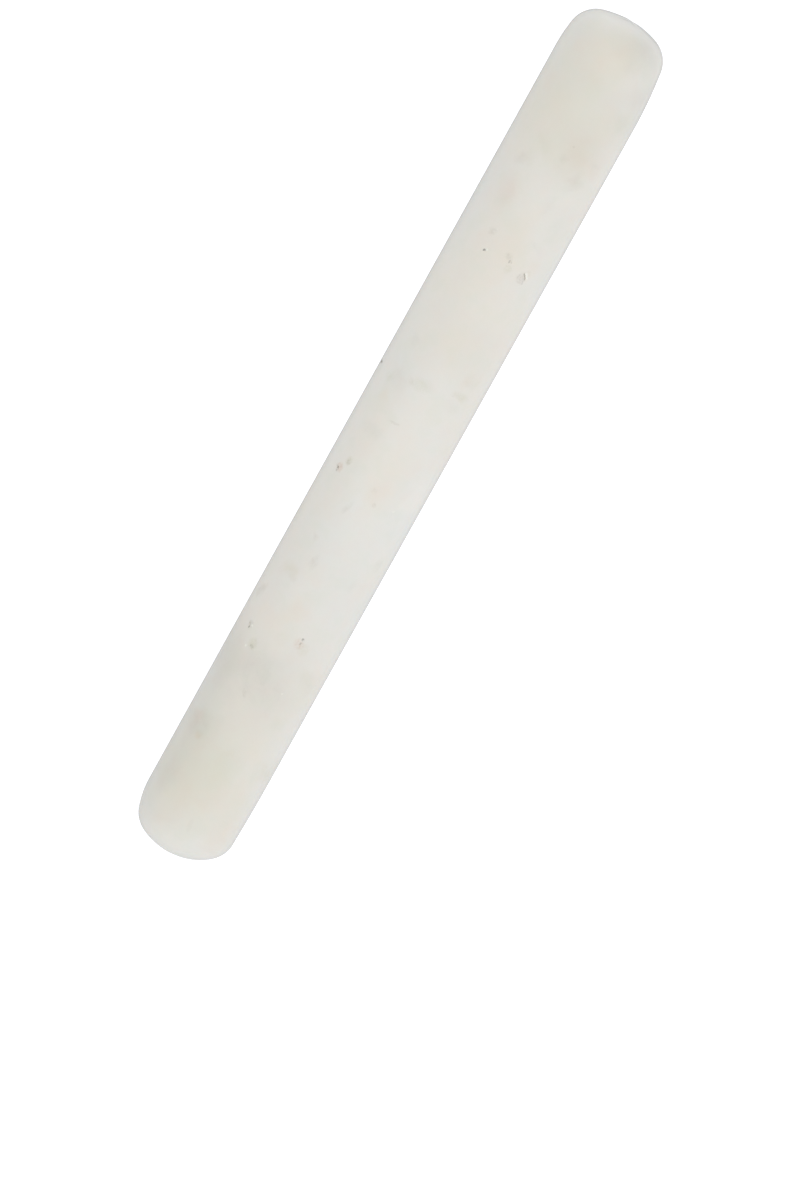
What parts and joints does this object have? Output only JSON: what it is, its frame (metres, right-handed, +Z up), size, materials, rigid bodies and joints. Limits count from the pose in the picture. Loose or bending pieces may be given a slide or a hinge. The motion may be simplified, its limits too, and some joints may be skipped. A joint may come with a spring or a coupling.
{
  "type": "rolling pin",
  "caption": "Straight one-piece stone rolling pin: a plain cylinder with hand-ground domed ends, for rolling out dough and pastry.",
  "frame": {"origin": "middle of the pin, on the barrel's axis, halfway between the two tips", "axes": "+X along the barrel towards the end with the flatter dome, +Z up when the pin lies on a table, +Y across it; both ends' grinding leans slightly towards -Y"},
  "size_m": [0.4, 0.045, 0.045],
  "materials": {
    "honed_marble": "honed off-white marble, satin, with soft warm and grey clouds and a few small brown specks"
  },
  "bodies": {
    "root": {"marble_pin": "honed_marble"}
  },
  "joints": []
}
